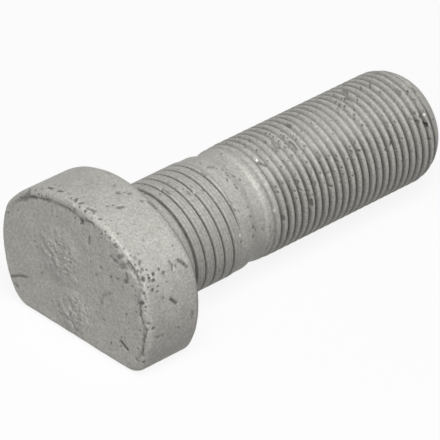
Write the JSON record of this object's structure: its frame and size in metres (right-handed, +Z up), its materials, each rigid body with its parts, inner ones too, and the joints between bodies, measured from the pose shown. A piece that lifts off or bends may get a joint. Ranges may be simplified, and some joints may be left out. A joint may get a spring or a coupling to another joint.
{
  "type": "wheel bolt",
  "caption": "Forged wheel bolt with a rounded head flattened on one side, a helically grooved press seat, a waisted neck and a fine threaded shank.",
  "frame": {"origin": "on the bolt's axis, in the plane of the head's bearing face, where the press seat begins", "axes": "+X along the axis from the head towards the threaded end, +Z up with the head's flat side facing down, +Y level and square to the axis"},
  "size_m": [0.0725, 0.0364, 0.0262],
  "materials": {
    "coated_steel": "matt zinc flake coating on forged and rolled steel"
  },
  "bodies": {
    "root": {"wheel_bolt": "coated_steel"}
  },
  "joints": []
}
